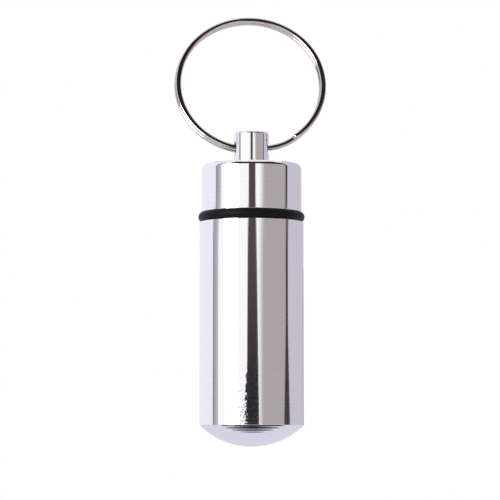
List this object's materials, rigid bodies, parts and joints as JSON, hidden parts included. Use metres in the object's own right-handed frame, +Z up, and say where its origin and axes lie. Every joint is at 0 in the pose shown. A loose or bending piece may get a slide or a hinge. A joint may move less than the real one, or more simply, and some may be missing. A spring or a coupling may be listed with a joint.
{
  "type": "pill fob keychain",
  "caption": "Domed cylindrical aluminium pill case with a threaded neck, a rubber seal and a screw cap, hung by the cap's cross-drilled stem from a split key ring.",
  "frame": {"origin": "lowest point of the domed base, on the axis of the case", "axes": "+Z up the axis of the case towards the key ring; +X along the cross hole in the stem; the key ring leans back towards +Y"},
  "size_m": [0.0258, 0.0178, 0.0735],
  "materials": {
    "turned_aluminium": "fine turned marks round the axis, bright",
    "seal_rubber": "smooth moulded rubber with a soft sheen",
    "nickel_plated_steel": "polished nickel plate over spring steel"
  },
  "bodies": {
    "key_ring": {"split_ring": "nickel_plated_steel"},
    "cap": {"cap": "turned_aluminium"},
    "seal": {"o_ring": "seal_rubber"},
    "case": {"case_body": "turned_aluminium"}
  },
  "joints": [
    {"name": "ring_swing", "type": "hinge", "parent": "key_ring", "child": "cap", "pos_m": [0, 0, 0.04975], "axis": [1, 0, 0], "range_deg": [-151, 110]},
    {"name": "cap_lift", "type": "slide", "parent": "cap", "child": "seal", "axis": [0, 0, -1], "range_m": [0, 0.012]},
    {"name": "cap_unscrew", "type": "hinge", "parent": "seal", "child": "case", "pos_m": [0, 0, 0.0375], "axis": [0, 0, -1], "range_deg": [0, 4330]}
  ],
  "couplings": [
    {"joint": "cap_unscrew", "follows": "cap_lift", "rad_per_m": 6283.2}
  ]
}
